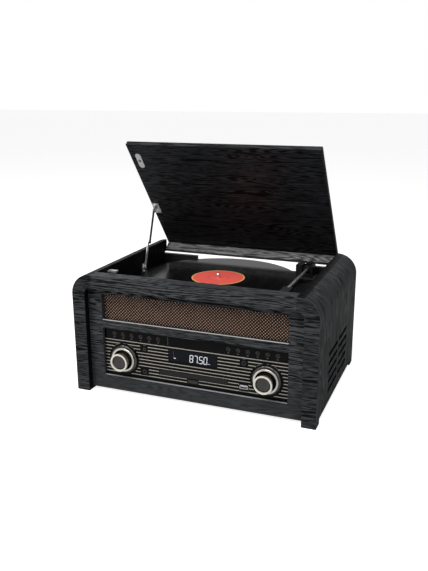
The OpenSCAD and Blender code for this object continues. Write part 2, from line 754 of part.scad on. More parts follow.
module tonearm_turret() color([0.1, 0.1, 0.11]) {
    bar_z(arm_x, arm_y, [deck_low - 5.5, deck_z + base_h + 2], 5);
    difference() {
        union() {
            block(at(arm_x, [-turret_w / 2, turret_w / 2]), at(arm_y, turret_y),
                [deck_z + base_h + air, arm_z + 9]);
            // housing of the spring that sets the tracking force, over the record's edge
            block(at(arm_x - turret_w / 2, [-spring_w, 1]), at(arm_y, turret_y),
                [record_z + 3, arm_z + 9]);
        }
        block(at(arm_x, [-turret_w / 2 + cheek_t, turret_w / 2 - cheek_t]), at(arm_y, [-13, 14]),
            [arm_z - 8, arm_z + 10]);
        bar_x(at(arm_x, [-turret_w / 2 - 1, turret_w / 2 + 1]), arm_y, arm_z, 1.5 + run);
    }
}

module tonearm_tube() color([0.75, 0.76, 0.78]) {
    bar_y(arm_x, [arm_y - arm_len + 24, arm_y + 16], arm_z, tube_r);
    bar_y(arm_x, at(arm_y, [15, 28]), arm_z, weight_r - 2.5);
    bar_y(arm_x, at(arm_y, [16, 26]), arm_z, weight_r);
    block(at(arm_x, [-6, 6]), at(arm_y, [-7, 7]), at(arm_z, [-5, 5]));
    bar_x(at(arm_x, [-turret_w / 2, turret_w / 2]), arm_y, arm_z, 1.5);
}

module headshell() color([0.1, 0.1, 0.11]) {
    y0 = arm_y - arm_len;
    difference() {
        block(at(arm_x, [-8, 8]), [y0 - 14, y0 + 24], at(arm_z, [-3.2, 1.5]));
        block(at(arm_x, [-6.5, 6.5]), [y0 - 12, y0 + 18], at(arm_z, [-4, -1]));
    }
    // finger lift, cartridge and stylus
    block(at(arm_x, [8, 15]), [y0 - 8, y0 - 3], at(arm_z, [-0.6, 0.6]));
    block(at(arm_x, [-5, 5]), [y0 - 8, y0 + 10], at(arm_z, [-4.5, -1]));
    translate([arm_x, y0, arm_z - 6]) cylinder(h = 1.6, r1 = 0.3, r2 = 1.2);
}

module cue_lever() color([0.12, 0.12, 0.13]) {
    bar_x(at(arm_x, [16, 30]), cue_y, cue_z, 2);
    bar_x(at(arm_x, [19 + air, 27 - air]), cue_y, cue_z, 3.5);
    block(at(arm_x, [20, 26]), [cue_y - 34, cue_y], at(cue_z, [0, 2.5]));
    bar_x(at(arm_x, [19.5, 26.5]), cue_y - 34, cue_z + 1.5, 2.2);
}

module speed_selector() color([0.12, 0.12, 0.13]) {
    bar_z(select_x, select_y, at(deck_z, [air, 6]), 9);
    block(at(select_x, [-1.5, 1.5]), at(select_y, [-10, 8]), at(deck_z, [5, 10]));
    bar_z(select_x, select_y, [deck_low - 2, deck_z + 1], 2.5);
}

// ---- Lid ----

module lid_board() color([0.15, 0.15, 0.16]) with_lid()
    block([-lid_x, lid_x], [lid_y0, back_y], at(lid_z, [0, lid_t]));

module lid_rear_rail() color([0.2, 0.2, 0.21]) with_lid() difference() {
    block([-lid_x, lid_x], at(back_y, [-lid_rail_t, 0]), at(lid_z, [-lid_rail_h, 0]));
    for (s = [-1, 1])
        bar_x(at(s * (lid_x - pin_len / 4), [-pin_len / 4 - 1, pin_len / 4 + 1]),
            hinge_y, hinge_z, pin_r + run);
}

module lid_pivot_pins() color([0.7, 0.7, 0.72]) for (s = [-1, 1])
    bar_x(at(s * well_x, [-pin_len / 2, pin_len / 2]), hinge_y, hinge_z, pin_r);

module catch_plate() color([0.75, 0.75, 0.76]) with_lid() difference() {
    union() {
        block(at(plate_x, [-plate_w / 2, plate_w / 2]),
            at(plate_y, [-plate_l / 2 + plate_w / 2, plate_l / 2 - plate_w / 2]),
            at(lid_z, [-1.2, 0]));
        for (s = [-1, 1])
            bar_z(plate_x, plate_y + s * (plate_l - plate_w) / 2, at(lid_z, [-1.2, 0]),
                plate_w / 2);
    }
    bar_z(plate_x, plate_y, at(lid_z, [-2, -0.7]), 2.4);
}

module lid_catch() color([0.7, 0.7, 0.7]) {
    block([-well_x, -well_x + 2], at(plate_y, [-6, 6]), at(lid_z, [-14, -3]));
    block([-well_x + 1, plate_x], at(plate_y, [-4, 4]), at(lid_z, [-4.8, -1.2 - air]));
}

// ---- Lid stay: two links that fold at an elbow ----

module link(len) {
    block([0, link_t], [0, len], [-link_w / 2, link_w / 2]);
    for (y = [0, len]) bar_x([0, link_t], y, 0, link_w / 2);
}

module stay_lid_bracket() color([0.8, 0.8, 0.8]) with_lid() {
    x = link_x1 + link_t + air;
    block(at(x, [-5.8, 9]), at(stay_in_y, [-9, 17]), at(lid_z, [-1.2, 0]));
    difference() {
        block(at(x, [0, 1.5]), at(stay_in_y, [-5, 5]), [stay_in_z - 5, lid_z - 1]);
        bar_x(at(x, [-1, 3]), stay_in_y, stay_in_z, 1.5);
    }
    bar_x([link_x1 - 1, x + 2.2], stay_in_y, stay_in_z, 1.5);
    bar_x(at(link_x1, [-1.2, -air]), stay_in_y, stay_in_z, 3);
    bar_z(x + 4.6, stay_in_y + 12.5, at(lid_z, [-2, -1]), 4);
}

module stay_upper_link() color([0.12, 0.12, 0.13]) difference() {
    translate([0, stay_p[0], stay_p[1]]) rotate([180 + stay_ang, 0, 0]) {
        translate([link_x1, 0, 0]) link(upper_link);
        bar_x(at(link_x1, [-0.6, link_t + 0.8]), upper_link, 0, rivet_r);
    }
    bar_x(at(link_x1, [-2, 3]), stay_p[0], stay_p[1], 1.5 + run);
}

module stay_lower_link() color([0.8, 0.8, 0.82]) difference() {
    translate([0, stay_g[0], stay_g[1]]) rotate([stay_ang, 0, 0]) {
        translate([link_x0, 0, 0]) link(lower_link);
        bar_x(at(link_x0, [-0.8, link_t + 0.8]), lower_link, 0, rivet_r);
    }
    bar_x(at(link_x0, [-2, 3]), stay_g[0], stay_g[1], 1.5 + run);
}

module stay_wall_bracket() color([0.8, 0.8, 0.8]) {
    block([-well_x, -well_x + 1.5], at(stay_g[0], [-7, 7]), at(stay_g[1], [-12, 7]));
    bar_x([-well_x + 1, link_x0 + link_t + 1.2], stay_g[0], stay_g[1], 1.5);
    bar_x(at(link_x0 + link_t, [air, 1.2]), stay_g[0], stay_g[1], 3);
    bar_x(at(-well_x, [1.5, 2.2]), stay_g[0], stay_g[1] - 9, 2);
}

// ---- Rear sockets and supply ----

module power_inlet() color([0.08, 0.08, 0.08]) {
    difference() {
        union() {
            block(at(rear_x, [-12.8, 12.8]), [wall_y - 8, back_y], at(rear_z, [-8.8, 8.8]));
            block(at(rear_x, [-18, 18]), at(back_y, [0, 1.5]), at(rear_z, [-12, 12]));
        }
        block(at(rear_x, [-8.5, 8.5]), [back_y - 12, back_y + 3], at(rear_z, [-4.5, 4.5]));
    }
    for (s = [-1, 1]) bar_y(rear_x + s * 5.5, [back_y - 13, back_y - 3], rear_z, 1.2);
}

module rca_sockets() color([0.75, 0.7, 0.5]) {
    block(at(-rear_x, [-10, 10]), at(back_y, [0, 1.5]), at(rear_z, [-19, 19]));
    for (s = [-1, 1]) {
        z = rear_z + s * 8;
        bar_y(-rear_x, [wall_y - 4, back_y + 1], z, 5.6);
        difference() {
            bar_y(-rear_x, at(back_y, [1, 10]), z, 4.15);
            bar_y(-rear_x, at(back_y, [2, 11]), z, 1.7);
        }
    }
}

module power_supply() color([0.3, 0.3, 0.33]) {
    block(at(supply_x, [-29, 29]), at(supply_y, [-30, 30]), at(floor_z, [0, 3]));
    block(at(supply_x, [-23, 23]), at(supply_y, [-24, 24]), at(floor_z, [2, 40]));
}

left_side_panel();
right_side_panel();
top_front_rail();
front_fascia();
rear_wall();
bottom_panel();
deck_plate();
grille_cloth();
speaker_baffle();
speakers();
control_panel();
display_window();
display_module();
main_board();
left_key_1();
left_key_2();
left_key_3();
left_key_4();
left_key_5();
left_key_6();
right_key_1();
right_key_2();
right_key_3();
right_key_4();
right_key_5();
right_key_6();
left_knob();
left_knob_rings();
right_knob();
right_knob_rings();
cd_tray();
cd_drive();
eject_button();
usb_socket();
phone_jacks();
platter();
spindle();
slip_mat();
record();
platter_motor();
motor_pulley();
drive_belt();
tonearm_base();
tonearm_turret();
tonearm_tube();
headshell();
cue_lever();
speed_selector();
lid_board();
lid_rear_rail();
lid_pivot_pins();
catch_plate();
lid_catch();
stay_lid_bracket();
stay_upper_link();
stay_lower_link();
stay_wall_bracket();
power_inlet();
rca_sockets();
power_supply();
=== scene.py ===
import math

import bmesh
import bpy
from mathutils import Matrix, Vector


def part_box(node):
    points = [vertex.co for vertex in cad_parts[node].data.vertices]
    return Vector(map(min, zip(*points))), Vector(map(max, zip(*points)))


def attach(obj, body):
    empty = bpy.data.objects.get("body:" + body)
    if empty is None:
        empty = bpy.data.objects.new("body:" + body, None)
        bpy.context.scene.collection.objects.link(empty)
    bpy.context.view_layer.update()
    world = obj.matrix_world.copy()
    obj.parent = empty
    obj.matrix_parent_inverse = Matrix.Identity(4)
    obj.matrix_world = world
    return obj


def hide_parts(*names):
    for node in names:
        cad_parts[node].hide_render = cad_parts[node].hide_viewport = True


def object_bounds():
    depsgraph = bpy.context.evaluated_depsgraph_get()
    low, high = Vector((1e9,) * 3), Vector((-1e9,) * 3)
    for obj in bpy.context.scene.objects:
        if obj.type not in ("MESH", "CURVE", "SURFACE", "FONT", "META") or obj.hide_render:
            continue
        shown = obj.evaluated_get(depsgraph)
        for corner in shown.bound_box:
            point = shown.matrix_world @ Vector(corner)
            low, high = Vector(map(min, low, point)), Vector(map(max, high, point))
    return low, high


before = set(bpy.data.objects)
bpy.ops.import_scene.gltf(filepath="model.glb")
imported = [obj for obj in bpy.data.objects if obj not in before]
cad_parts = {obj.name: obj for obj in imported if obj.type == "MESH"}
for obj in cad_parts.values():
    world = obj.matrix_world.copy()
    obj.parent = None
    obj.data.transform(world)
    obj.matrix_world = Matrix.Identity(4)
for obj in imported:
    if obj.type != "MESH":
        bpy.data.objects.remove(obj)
cad_low, cad_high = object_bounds()


# ---- Camera, table and light ----
# A photographer's table: the camera stands to the right of the set and looks down on it, and
# the set stands on white board. Large soft lamps hang over the left front and the top, a weaker
# one fills in from the right, and white screens, darker near the floor, show in what is polished.

camera_place = (0.42978, -1.13482, 0.52511)
look_left, look_down, tilt = (math.radians(angle) for angle in (21.505, 16.139, -0.231))
camera = bpy.data.objects.new("camera", bpy.data.cameras.new("camera"))
bpy.context.scene.collection.objects.link(camera)
bpy.context.scene.camera = camera
camera.matrix_world = (Matrix.Translation(camera_place) @ Matrix.Rotation(look_left, 4, "Z")
                       @ Matrix.Rotation(math.pi / 2 - look_down, 4, "X") @ Matrix.Rotation(tilt, 4, "Z"))
camera.data.lens = 43.03
camera.data.sensor_width = 36
camera.data.clip_start = 0.05
bpy.context.scene.view_settings.view_transform = "Standard"


class Socket:
    """An output in a node tree, with the operators that shader maths needs."""

    def __init__(self, tree, link):
        self.tree = tree
        self.link = link

    def node(self, kind, settings=None, out=0, **values):
        """Another node of this tree: its type and settings, then its inputs, by name or as i0, i1."""
        made = self.tree.nodes.new(kind)
        for name, value in (settings or {}).items():
            setattr(made, name, value)
        for name, value in values.items():
            key = int(name[1:]) if name[0] == "i" and name[1:].isdigit() else name.replace("_", " ")
            if isinstance(value, Socket):
                self.tree.links.new(value.link, made.inputs[key])
            else:
                made.inputs[key].default_value = value
        return Socket(self.tree, made.outputs[out])

    def math(self, operation, *others):
        values = {f"i{n}": value for n, value in enumerate((self, *others))}
        return self.node("ShaderNodeMath", {"operation": operation}, **values)

    def __add__(self, other):
        return self.math("ADD", other)

    def __sub__(self, other):
        return self.math("SUBTRACT", other)

    def __mul__(self, other):
        return self.math("MULTIPLY", other)

    def __lt__(self, other):
        return self.math("LESS_THAN", other)

    def __gt__(self, other):
        return self.math("GREATER_THAN", other)

    def __rsub__(self, other):
        return self.node("ShaderNodeMath", {"operation": "SUBTRACT"}, i0=other, i1=self)

    __radd__ = __add__
    __rmul__ = __mul__

    def ramp(self, low, high):
        """0 up to low, 1 from high, and a soft step between."""
        return self.node("ShaderNodeMapRange", {"interpolation_type": "SMOOTHSTEP"}, i0=self, i1=low,
                         i2=high)

    def mix(self, first, second):
        """The first colour where this value is 0, the second where it is 1."""
        first, second = ((*c, 1) if isinstance(c, tuple) else c for c in (first, second))
        return self.node("ShaderNodeMix", {"data_type": "RGBA"}, out=2, i0=self, i6=first, i7=second)

    def vector(self, operation, other):
        return self.node("ShaderNodeVectorMath", {"operation": operation}, i0=self, i1=other)

    def parts(self):
        split = self.node("ShaderNodeSeparateXYZ", i0=self).link.node
        return [Socket(self.tree, output) for output in split.outputs]

    def noise(self, size, detail=2.0, distortion=0.0):
        """Cloudy values whose spots are about this many metres across."""
        return self.node("ShaderNodeTexNoise", Vector=self, Scale=1 / size, Detail=detail,
                         Distortion=distortion)

    def surface(self):
        """The direction that the surface faces, before any bump."""
        return self.node("ShaderNodeNewGeometry", out=1)


def finish(name, **uniform):
    """A material whose uniform values sit on its shader. Returns it, its place in space and the shader."""
    made = bpy.data.materials.new(name)
    made.use_nodes = True
    shader = made.node_tree.nodes["Principled BSDF"]
    for key, value in uniform.items():
        shader.inputs[key.replace("_", " ")].default_value = value
    place = Socket(made.node_tree, made.node_tree.nodes.new("ShaderNodeTexCoord").outputs["Object"])
    return made, place, shader


def feed(shader, **varying):
    for key, value in varying.items():
        shader.id_data.links.new(value.link, shader.inputs[key.replace("_", " ")])


table_half = 14
glow_strength = 0.85
table_mesh = bpy.data.meshes.new("table_top")
table_mesh.from_pydata([(x * table_half, y * table_half, cad_low.z)
                        for x, y in ((-1, -1), (1, -1), (1, 1), (-1, 1))], [], [(0, 1, 2, 3)])
table_top = bpy.data.objects.new("table_top", table_mesh)
bpy.context.scene.collection.objects.link(table_top)
white_board, place, shader = finish("white_board", Base_Color=(0.85, 0.85, 0.85, 1), Roughness=0.9)
plain = Socket(place.tree, shader.outputs[0])
glow = place.node("ShaderNodeEmission", Color=(1, 1, 1, 1), Strength=glow_strength)
lit = place.node("ShaderNodeAddShader", i0=plain, i1=glow)
shown = place.node("ShaderNodeMixShader", i0=place.node("ShaderNodeLightPath"), i1=plain, i2=lit)
place.tree.links.new(shown.link, place.tree.nodes["Material Output"].inputs["Surface"])
table_mesh.materials.append(white_board)

room_strength = 0.5
screen_shade = 0.65
studio = bpy.data.worlds.new("studio")
studio.use_nodes = True
bpy.context.scene.world = studio
room = Socket(studio.node_tree, studio.node_tree.nodes["Background"].outputs[0])
studio.node_tree.nodes["Background"].inputs["Strength"].default_value = room_strength
rays = room.node("ShaderNodeLightPath").link.node
seen, glossy, through = (Socket(studio.node_tree, rays.outputs[f"Is {kind} Ray"])
                         for kind in ("Camera", "Glossy", "Transmission"))
low_screen = 1 - room.node("ShaderNodeTexCoord").parts()[2].ramp(0.10, 0.45)
white = room.node("ShaderNodeBackground", Color=(1, 1, 1, 1),
                  Strength=1 - glossy * low_screen * screen_shade)
seen = seen.math("MAXIMUM", glossy).math("MAXIMUM", through)
sky = room.node("ShaderNodeMixShader", i0=seen, i1=room, i2=white)
studio.node_tree.links.new(sky.link, studio.node_tree.nodes["World Output"].inputs["Surface"])


aimed_at = Vector((0, 0, 0.15))


def soft_lamp(name, place, size, power):
    lamp = bpy.data.objects.new(name, bpy.data.lights.new(name, "AREA"))
    bpy.context.scene.collection.objects.link(lamp)
    lamp.data.shape = "RECTANGLE"
    lamp.data.size, lamp.data.size_y = size
    lamp.data.energy = power
    lamp.location = place
    lamp.rotation_euler = (aimed_at - Vector(place)).to_track_quat("-Z", "Y").to_euler()


soft_lamp("left_softbox", place=(-1.3, -1.6, 1.9), size=(1.4, 1.1), power=34)
soft_lamp("right_softbox", place=(1.7, -0.9, 1.2), size=(1.0, 1.2), power=5)
soft_lamp("top_softbox", place=(0.1, -0.75, 2.0), size=(1.5, 1.0), power=18)


# ---- Cabinet: side panels, front rail and fascia ----
# Fibreboard under oak veneer, stained black and thinly lacquered, with its grain along the front and
# up and over the sides. The wells and vents are painted black. The upward lower edges of the fascia's
# openings are painted pale as a highlight, the fascia's foot fades into a painted reflection of the
# floor, and a black band runs along the right panel's top beside the well.

mm = 0.001
squashed = 0.055  # of the grain's length in the noise that draws it
ring_waves = 150  # radians that the dark rings' wave runs through over the noise's range
turned = 0.7      # the part of a face's direction from which it counts as facing that way


def bump(height, strength, depth):
    return height.node("ShaderNodeBump", Strength=strength, Distance=depth, Height=height)


def cover(material, *nodes):
    """Gives a finish to whole CAD nodes."""
    for node in nodes:
        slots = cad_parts[node].data.materials
        for n in range(len(slots)):
            slots[n] = material


def grain_of(place, shift, wraps):
    """A place in the plank: short along the grain, which wraps over the edge of a side panel."""
    inside = place.vector("ADD", shift)
    along = inside.vector("MULTIPLY", (squashed, 1, 1))
    if not wraps:
        return along
    front = place.surface().parts()[1].math("ABSOLUTE") > turned
    upright = inside.vector("MULTIPLY", (squashed, 1, squashed))
    return place.node("ShaderNodeMix", {"data_type": "VECTOR"}, out=1, i0=front, i4=upright, i5=along)


def streaks_of(grain):
    """0 in the pores and the dark rings, 1 in the pale wood between them."""
    rings = grain.vector("ADD", (4 * mm, 70 * mm, 20 * mm)).noise(20 * mm, 1.0, 0.4)
    bands = (rings * ring_waves).math("SINE") * 0.5 + 0.5
    broad = grain.noise(4.0 * mm, 3.0, 0.6)
    fine = grain.vector("MULTIPLY", (2.4, 1, 1)).noise(2.0 * mm, 2.0, 0.3)
    return (broad * 0.22 + fine * 0.56 + bands * 0.22).ramp(0.37, 0.65)


def black_oak(name, shift=(0, 0, 0), wraps=False, pore=(0.005, 0.0055, 0.006), pale=(0.092, 0.096, 0.101),
              lacquer=0.04, matt=0.62):
    """The stained veneer. The colour that it returns is still to be fed."""
    made, place, shader = finish(name, Specular_IOR_Level=lacquer)
    streaks = streaks_of(grain_of(place, shift, wraps))
    feed(shader, Roughness=matt - streaks * 0.2, Normal=bump(streaks, 0.45, 0.3 * mm))
    return made, place, shader, streaks.mix(pore, pale)


rail_oak, place, shader, wood = black_oak("rail_oak", lacquer=0.12)
feed(shader, Base_Color=wood)
cover(rail_oak, "top_front_rail")

fascia_low, fascia_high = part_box("front_fascia")
edge_in = 4 * mm
between_openings = 100 * mm
fascia_oak, place, shader, wood = black_oak("fascia_oak")
x, y, z = place.parts()
upward = place.surface().parts()[2] > 0.6
at_openings = (z > fascia_low.z + 20 * mm) * (z < fascia_high.z - 30 * mm)
# Painted highlight: the upward faces at the foot of each opening are coloured pale, paler under the grille,
# as if lit from above.
edge_highlight_mask = upward * at_openings * (y < fascia_low.y + edge_in)
painted_edge_highlight = (z > between_openings).mix((0.40, 0.41, 0.42), (0.74, 0.74, 0.75))
# Painted reflection of the floor: towards the bottom the grain fades into an even grey.
painted_floor_reflection = (1 - z.ramp(25 * mm, 70 * mm)) * 0.7
feed(shader, Base_Color=edge_highlight_mask.mix(painted_floor_reflection.mix(wood, (0.046, 0.048, 0.051)), painted_edge_highlight))
cover(fascia_oak, "front_fascia")

vent_y = (-140 * mm, 130 * mm)
vent_top = 160 * mm
veneer_in = 0.3 * mm
dark_band_w = 12 * mm
well_x = 182 * mm
for side, facing in (("left", 1), ("right", -1)):
    side_oak, place, shader, wood = black_oak(f"{side}_side_oak", wraps=True, pale=(0.066, 0.069, 0.073),
                                              lacquer=0.05)
    x, y, z = place.parts()
    out = x * -facing
    surface = place.surface().parts()
    in_well = (surface[0] * facing) > turned
    in_vents = (out < cad_high.x - veneer_in) * (z < vent_top) * (y > vent_y[0]) * (y < vent_y[1])
    black = in_well.math("MAXIMUM", in_vents)
    if side == "right":
        # A black band along the top of the right panel, beside the well.
        black = black.math("MAXIMUM", (out < well_x + dark_band_w) * (surface[2] > 0.2))
    feed(shader, Base_Color=black.mix(wood, (0.004, 0.004, 0.004)))
    cover(side_oak, f"{side}_side_panel")


# ---- Rear wall, bottom and deck ----
# The rear wall and the speakers' baffle are fibreboard and the deck is a pressed plate, all sprayed
# satin black. The bottom panel is bare fibreboard.


def mottled(name, spot, dark, pale, rough, spread, detail=2.0, **uniform):
    """A finish whose colour and roughness vary in fine spots. Returns it, the shader and the spots."""
    made, place, shader = finish(name, **uniform)
    spots = place.noise(spot, detail)
    feed(shader, Base_Color=spots.mix(dark, pale), Roughness=spots * spread + rough)
    return made, shader, spots


sprayed_black, shader, spatter = mottled("sprayed_black", 1.1 * mm, (0.006, 0.006, 0.0065),
                                         (0.013, 0.013, 0.014), rough=0.35, spread=0.25, detail=3.0,
                                         Specular_IOR_Level=0.4)
feed(shader, Normal=bump(spatter, 0.12, 0.1 * mm))
cover(sprayed_black, "rear_wall", "speaker_baffle", "deck_plate")

bare_fibreboard, place, shader = finish("bare_fibreboard", Roughness=0.85)
fibres = place.noise(2.5 * mm, 4.0)
feed(shader, Base_Color=fibres.mix((0.23, 0.16, 0.10), (0.36, 0.27, 0.18)),
     Normal=bump(fibres, 0.2, 0.3 * mm))
cover(bare_fibreboard, "bottom_panel")


# ---- Speaker cloth and speakers ----
# Flat brown threads in a plain weave, laid on the bias and stretched over the black baffle, which
# shows in the gaps; their crests carry a painted highlight. The speakers behind it have pressed
# baskets and pulp diaphragms.


def new_piece(name, points, faces, material, body, smooth=False):
    """A mesh piece that follows a body."""
    mesh = bpy.data.meshes.new(name)
    mesh.from_pydata(points, [], faces)
    mesh.validate()
    shape = bmesh.new()
    shape.from_mesh(mesh)
    bmesh.ops.recalc_face_normals(shape, faces=shape.faces)
    shape.to_mesh(mesh)
    shape.free()
    mesh.polygons.foreach_set("use_smooth", [smooth] * len(mesh.polygons))
    mesh.materials.append(material)
    made = bpy.data.objects.new(name, mesh)
    bpy.context.scene.collection.objects.link(made)
    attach(made, body)
    return made


cloth_low, cloth_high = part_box("grille_cloth")
thread_pitch = 4.0 * mm
thread_w = 1.8 * mm
thread_t = 0.5 * mm
weave_rise = 0.28 * mm
cloth_mid = cloth_high.y - thread_t / 2 - weave_rise
cloth_edge = 0.7 * mm
steps_per_crossing = 4

points = []
faces = []
cloth_centre = (cloth_low + cloth_high) / 2
half_x = (cloth_high.x - cloth_low.x) / 2 - cloth_edge
half_z = (cloth_high.z - cloth_low.z) / 2 - cloth_edge
count = int((half_x + half_z) / math.sqrt(2) / thread_pitch) + 1
for slope in (1, -1):
    run = Vector((1, 0, slope)).normalized()
    across = Vector((-slope, 0, 1)).normalized()
    for n in range(-count, count + 1):
        middle = across * (n * thread_pitch)
        # the stretch of this thread that lies inside the cloth's outline
        start, end = -1.0, 1.0
        for axis, half in ((0, half_x), (2, half_z)):
            ends = sorted(((-half - middle[axis]) / run[axis], (half - middle[axis]) / run[axis]))
            start, end = (ends[0], ends[1]) if axis == 0 else (max(start, ends[0]), min(end, ends[1]))
        if end - start < thread_pitch:
            continue
        steps = int((end - start) / thread_pitch * steps_per_crossing) + 1
        for k in range(steps + 1):
            along = start + (end - start) * k / steps
            rise = weave_rise * slope * math.cos(math.pi * (along / thread_pitch + n))
            centre = cloth_centre + middle + run * along
            centre.y = cloth_mid - rise
            if k:
                first = len(points) - 4
                faces += [(first + a, first + b, first + 4 + b, first + 4 + a)
                          for a, b in ((0, 1), (1, 2), (2, 3), (3, 0))]
            else:
                faces.append(tuple(len(points) + a for a in (0, 1, 2, 3)))
            points += [centre + across * (thread_w / 2), centre - Vector((0, thread_t / 2, 0)),
                       centre - across * (thread_w / 2), centre + Vector((0, thread_t / 2, 0))]
        faces.append(tuple(len(points) - a for a in (1, 2, 3, 4)))

thread_brown, place, shader = finish("thread_brown", Roughness=0.6, Specular_IOR_Level=0.05)
depth = place.parts()[1]
# Painted highlight: where a thread rises over another it is coloured pale tan, as if lit.
painted_crest_highlight = 1 - depth.ramp(cloth_mid - weave_rise - thread_t * 0.32, cloth_mid - weave_rise * 0.85)
twist = place.noise(0.6 * mm, 2.0)
dyed = place.noise(30 * mm, 2.0).ramp(0.3, 0.7).mix((0.012, 0.005, 0.0035), (0.024, 0.011, 0.008))
dyed_and_crest_highlight = (painted_crest_highlight * (twist * 0.6 + 0.7)).mix(dyed, (0.78, 0.51, 0.37))
feed(shader, Base_Color=dyed_and_crest_highlight, Normal=bump(twist, 0.4, 0.15 * mm))
weave = new_piece("speaker_weave", points, faces, thread_brown, "cabinet", smooth=True)
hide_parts("grille_cloth")

pulp_and_basket, place, shader = finish("pulp_and_basket", Roughness=0.6)
pulp = place.noise(1.2 * mm, 3.0)
feed(shader, Base_Color=pulp.mix((0.010, 0.010, 0.010), (0.028, 0.027, 0.026)),
     Normal=bump(pulp, 0.3, 0.2 * mm))
cover(pulp_and_basket, "speakers")


# ---- Control panel, its print and its keys ----
# One glossy black moulding, whose raised lines are hot-foiled in bronze, with a painted highlight
# along their tops and painted shade along their lower edges. Thin marks are printed beside the keys,
# the sockets and the knobs. The keys and the tray's button are small mouldings that come through holes in it.

panel_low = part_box("control_panel")[0]
line_rise = 0.4 * mm
panel_face = panel_low.y + line_rise
line_top = 99.1 * mm
line_pitch = 6 * mm
panel_gloss, place, shader = finish("panel_gloss", Specular_IOR_Level=0.1)
foil = place.parts()[1] < panel_face - line_rise / 2
# Painted highlight and shade: each raised line is pale bronze along its top and dark bronze below it.
painted_line_shade = ((line_top - place.parts()[2]).math("MODULO", line_pitch)).ramp(0.7 * mm, 1.4 * mm)
lit_and_shaded_bronze = painted_line_shade.mix((0.60, 0.57, 0.50), (0.07, 0.065, 0.055))
scuff = place.noise(16 * mm, 4.0)
feed(shader, Base_Color=foil.mix((0.0028, 0.0028, 0.0031), lit_and_shaded_bronze), Metallic=foil * 0.35,
     Roughness=foil * 0.3 + scuff * 0.08 + 0.07)
cover(panel_gloss, "control_panel")

print_t = 0.12 * mm


def plate(points, faces, outline, front, thick):
    """Adds a flat plate with this outline of (x, z) points, which lies on a plane that faces the front."""
    first = len(points)
    count = len(outline)
    points += [(x, front, z) for x, z in outline] + [(x, front + thick, z) for x, z in outline]
    faces.append(tuple(range(first, first + count)))
    faces.append(tuple(range(first + 2 * count - 1, first + count - 1, -1)))
    faces += [(first + n, first + count + n, first + count + (n + 1) % count, first + (n + 1) % count)
              for n in range(count)]


def arc_band(x, z, radius, width, start, end, steps=12):
    """The outline of a strip that runs round a centre, from one angle in degrees to another."""
    turns = [math.radians(start + (end - start) * n / steps) for n in range(steps + 1)]
    inner = [(x + (radius - width / 2) * math.cos(a), z + (radius - width / 2) * math.sin(a)) for a in turns]
    outer = [(x + (radius + width / 2) * math.cos(a), z + (radius + width / 2) * math.sin(a)) for a in turns]
    return inner + outer[::-1]


def bar(x, z, w, h):
    return [(x - w / 2, z - h / 2), (x + w / 2, z - h / 2), (x + w / 2, z + h / 2), (x - w / 2, z + h / 2)]


print_line = 0.5 * mm
half_ring = 176


def ring(x, z, radius):
    """The outlines of the two halves of a thin printed ring, which nearly meet."""
    return [arc_band(x, z, radius, print_line, start, start + half_ring) for start in (2, 182)]


key_nodes = [f"{side}_key_{n}" for side in ("left", "right") for n in range(1, 7)]
key_ring_r = 3.4 * mm
key_dash = (3.6 * mm, 0.8 * mm)
key_dash_drop = 6.2 * mm
knob_scale_r = 28.6 * mm
knob_scale_line = 0.7 * mm
knob_scale = ((112, 136), (82, 92), (42, 64))
small_ring_r = 2.3 * mm
small_rings = ((-91.5, 96.4), (-91.5, 87.6), (92, 97.5))
left_divider = bar(-46 * mm, 109 * mm, print_line, 14 * mm)
outlines = [left_divider]
for node in key_nodes:
    key_mid = sum(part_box(node), Vector()) / 2
    outlines += ring(key_mid.x, key_mid.z, key_ring_r)
    outlines.append(bar(key_mid.x, key_mid.z - key_dash_drop, *key_dash))
for node in ("left_knob", "right_knob"):
    knob_mid = sum(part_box(node), Vector()) / 2
    outlines += [arc_band(knob_mid.x, knob_mid.z, knob_scale_r, knob_scale_line, *span)
                 for span in knob_scale]
for x, z in small_rings:
    outlines += ring(x * mm, z * mm, small_ring_r)
points = []
faces = []
for outline in outlines:
    plate(points, faces, outline, panel_face - print_t / 2, print_t)

panel_print, place, shader = finish("panel_print", Roughness=0.4)
dots = place.noise(0.4 * mm, 2.0)
feed(shader, Base_Color=dots.mix((0.12, 0.118, 0.11), (0.22, 0.215, 0.20)))
new_piece("panel_marks", points, faces, panel_print, "cabinet")

cover(mottled("key_gloss", 3 * mm, (0.007, 0.007, 0.008), (0.012, 0.012, 0.013), rough=0.12, spread=0.1,
              detail=3.0, Specular_IOR_Level=0.35)[0], *key_nodes)
cover(mottled("eject_satin", 2 * mm, (0.018, 0.018, 0.019), (0.030, 0.030, 0.031), rough=0.3, spread=0.2,
              detail=3.0, Specular_IOR_Level=0.4)[0], "eject_button")


# ---- Display ----
# A negative liquid crystal behind a tinted window: pale seven-stroke figures stand on blue-black,
# with the bars of a small level mark at the left.

cover(mottled("window_tint", 50 * mm, (0.0050, 0.0060, 0.0095), (0.0070, 0.0080, 0.0125), rough=0.05,
              spread=0.06, Specular_IOR_Level=0.12)[0], "display_window")

crystal_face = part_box("display_window")[0].y - print_t / 2
figure_w = 5.6 * mm
figure_h = 12.6 * mm
stroke = 1.25 * mm
stroke_gap = 0.12 * mm
figure_z0 = 76.6 * mm
lean = 0.07
figures = (("8", -5.6), ("7", 2.6), ("5", 12.0), ("0", 20.2))
point_and_bars = ((10.1, 77.2, 1.4, 1.4), (-33.4, 79.6, 3.6, 1.4), (28.6, 77.4, 2.0, 1.0),
                  (31.2, 77.4, 1.2, 1.0))
strokes_of = {"8": "abcdefg", "7": "abc", "5": "acdfg", "0": "abcdef"}
stroke_ends = {"a": ((0, 1), (1, 1)), "b": ((1, 0.5), (1, 1)), "c": ((1, 0), (1, 0.5)), "d": ((0, 0), (1, 0)),
               "e": ((0, 0), (0, 0.5)), "f": ((0, 0.5), (0, 1)), "g": ((0, 0.5), (1, 0.5))}


